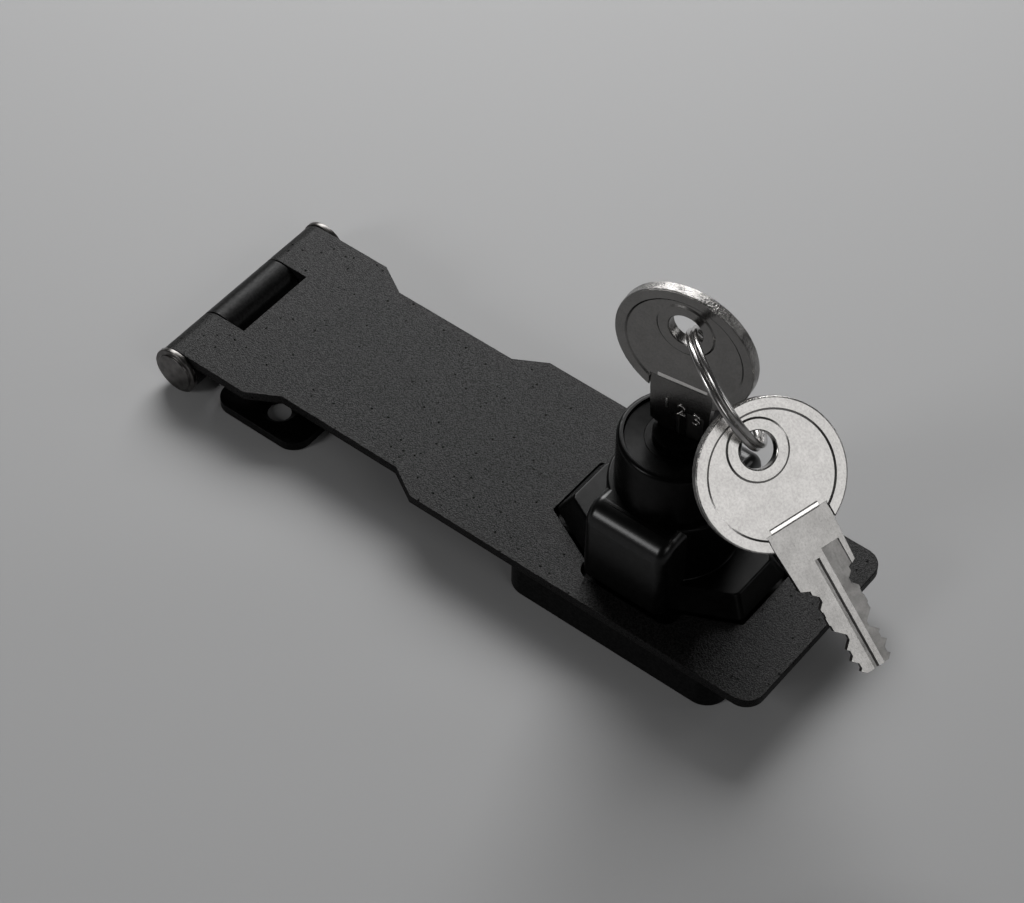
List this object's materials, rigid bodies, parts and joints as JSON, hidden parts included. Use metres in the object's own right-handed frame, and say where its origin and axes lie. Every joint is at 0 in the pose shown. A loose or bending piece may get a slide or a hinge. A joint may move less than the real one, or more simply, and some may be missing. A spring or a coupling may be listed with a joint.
{
  "type": "cabinet lock",
  "caption": "Keyed hasp lock for a cabinet or drawer: hinged sheet hasp with a mounting leaf, block base, twist knob with a key cylinder, and a spare key on a split ring.",
  "frame": {"origin": "on the knob's turning axis, at the underside of the base", "axes": "+X along the hasp away from its hinge, +Z out of the cabinet's face along the knob's axis"},
  "size_m": [0.1439, 0.0416, 0.0688],
  "materials": {
    "hasp_coat": "fine textured powder coat",
    "black_coat": "satin",
    "knob_satin": "satin",
    "cylinder_black": "satin",
    "pin_steel": "polished",
    "steel": "satin",
    "spring_steel": "satin",
    "wafer_brass": "satin",
    "key_nickel": "satin",
    "ring_nickel": "polished"
  },
  "bodies": {
    "hasp": {"hasp_plate": "hasp_coat", "hinge_pin": "pin_steel"},
    "leaf": {"hinge_leaf": "black_coat"},
    "base": {"lock_base": "black_coat"},
    "knob": {"knob_body": "knob_satin", "cylinder_sleeve": "cylinder_black", "sleeve_dowel": "steel", "stop_plate": "steel", "cone_washer": "spring_steel", "retaining_screw": "steel"},
    "bolt": {"lock_bolt": "steel"},
    "plug": {"key_plug": "cylinder_black", "drive_pin": "steel", "plug_clip": "spring_steel", "wafer_spring_1": "spring_steel", "wafer_spring_2": "spring_steel", "wafer_spring_3": "spring_steel", "wafer_spring_4": "spring_steel", "wafer_spring_5": "spring_steel"},
    "wafers_a": {"wafer_1": "wafer_brass", "wafer_3": "wafer_brass", "wafer_5": "wafer_brass"},
    "wafers_b": {"wafer_2": "wafer_brass", "wafer_4": "wafer_brass"},
    "key_1": {"inserted_key": "key_nickel"},
    "ring": {"split_ring": "ring_nickel"},
    "key_2": {"spare_key": "key_nickel"}
  },
  "joints": [
    {"name": "leaf_swing", "type": "hinge", "parent": "hasp", "child": "leaf", "pos_m": [-0.0925, 0, 0.0045], "axis": [0, 1, 0], "range_deg": [0, 270]},
    {"name": "hasp_lift", "type": "hinge", "parent": "hasp", "child": "base", "pos_m": [-0.0925, 0, 0.0045], "axis": [0, 1, 0], "range_deg": [0, 10]},
    {"name": "knob_turn", "type": "hinge", "parent": "base", "child": "knob", "pos_m": [0, 0, 0], "axis": [0, 0, 1], "range_deg": [0, 90]},
    {"name": "key_turn", "type": "hinge", "parent": "knob", "child": "plug", "pos_m": [0, 0, 0], "axis": [0, 0, 1], "range_deg": [-90, 0]},
    {"name": "bolt_slide", "type": "slide", "parent": "knob", "child": "bolt", "axis": [1, 0, 0], "range_m": [0, 0.0022]},
    {"name": "key_pull", "type": "slide", "parent": "plug", "child": "key_1", "axis": [0, 0, 1], "range_m": [0, 0.016]},
    {"name": "wafers_a_slide", "type": "slide", "parent": "plug", "child": "wafers_a", "axis": [0.9903, 0.1392, 0], "range_m": [0, 0.0006]},
    {"name": "wafers_b_slide", "type": "slide", "parent": "plug", "child": "wafers_b", "axis": [-0.9903, -0.1392, 0], "range_m": [0, 0.0006]},
    {"name": "ring_slip", "type": "hinge", "parent": "key_1", "child": "ring", "pos_m": [0.0094, -0.00245, 0.05583], "axis": [0.5263, 0.6797, 0.5109], "range_deg": [-15, 15]},
    {"name": "spare_key_slip", "type": "hinge", "parent": "ring", "child": "key_2", "pos_m": [0.0094, -0.00245, 0.05583], "axis": [0.5263, 0.6797, 0.5109], "range_deg": [-10, 10]}
  ],
  "couplings": [
    {"joint": "bolt_slide", "follows": "key_turn", "m_per_rad": -0.0014006},
    {"joint": "wafers_a_slide", "follows": "key_pull", "ratio": 0.0375},
    {"joint": "wafers_b_slide", "follows": "key_pull", "ratio": 0.0375}
  ]
}
